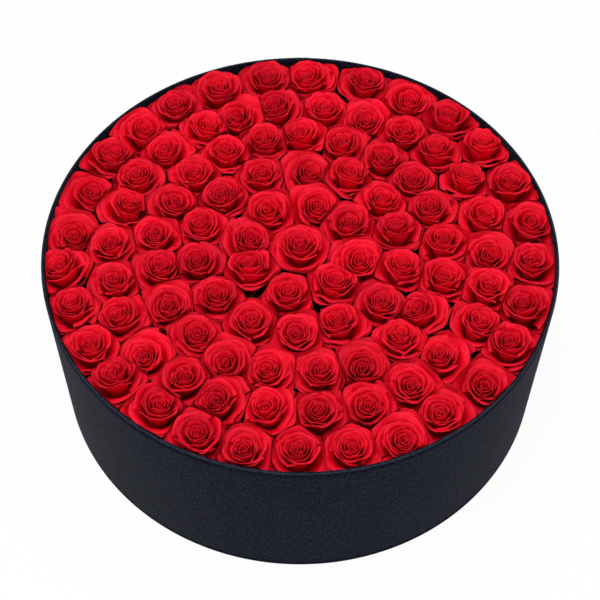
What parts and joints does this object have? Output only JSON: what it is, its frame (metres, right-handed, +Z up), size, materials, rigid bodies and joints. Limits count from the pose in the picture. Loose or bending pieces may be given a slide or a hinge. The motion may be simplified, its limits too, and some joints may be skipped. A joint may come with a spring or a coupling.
{
  "type": "flower box",
  "caption": "Round straight-walled box covered in black linen-finish paper, packed to the rim with red preserved roses in rings on a lift-out foam insert.",
  "frame": {"origin": "on the floor under the middle of the box", "axes": "+Z up along the axis of the box; front of the picture towards -Y; +X to the right"},
  "size_m": [0.52, 0.5198, 0.2],
  "materials": {
    "linen_cover": "matte",
    "lining": "matte",
    "greyboard": "matte",
    "card": "matte",
    "foam": "matte",
    "petals": "satin",
    "stems": "matte"
  },
  "bodies": {
    "box": {"base_board": "greyboard", "base_cover": "linen_cover", "base_lining": "lining", "wall_board": "greyboard", "wall_lining": "lining", "wall_wrap": "linen_cover"},
    "insert": {"foam_brick_01": "foam", "foam_brick_02": "foam", "foam_brick_03": "foam", "foam_brick_04": "foam", "foam_brick_05": "foam", "foam_brick_06": "foam", "foam_brick_07": "foam", "foam_brick_08": "foam", "foam_brick_09": "foam", "foam_brick_10": "foam", "foam_brick_11": "foam", "foam_brick_12": "foam", "foam_brick_13": "foam", "foam_brick_14": "foam", "foam_brick_15": "foam", "riser_deck": "greyboard", "riser_rib_cross": "card", "riser_rib_long": "card", "riser_skirt": "card", "rose_heads_ring_1": "petals", "rose_heads_ring_2": "petals", "rose_heads_ring_3": "petals", "rose_heads_ring_4": "petals", "rose_heads_ring_5": "petals", "rose_heads_ring_6": "petals", "rose_stems_ring_1": "stems", "rose_stems_ring_2": "stems", "rose_stems_ring_3": "stems", "rose_stems_ring_4": "stems", "rose_stems_ring_5": "stems", "rose_stems_ring_6": "stems"}
  },
  "joints": [
    {"name": "insert_lift", "type": "slide", "parent": "box", "child": "insert", "axis": [0, 0, 1], "range_m": [0, 0.22]}
  ]
}
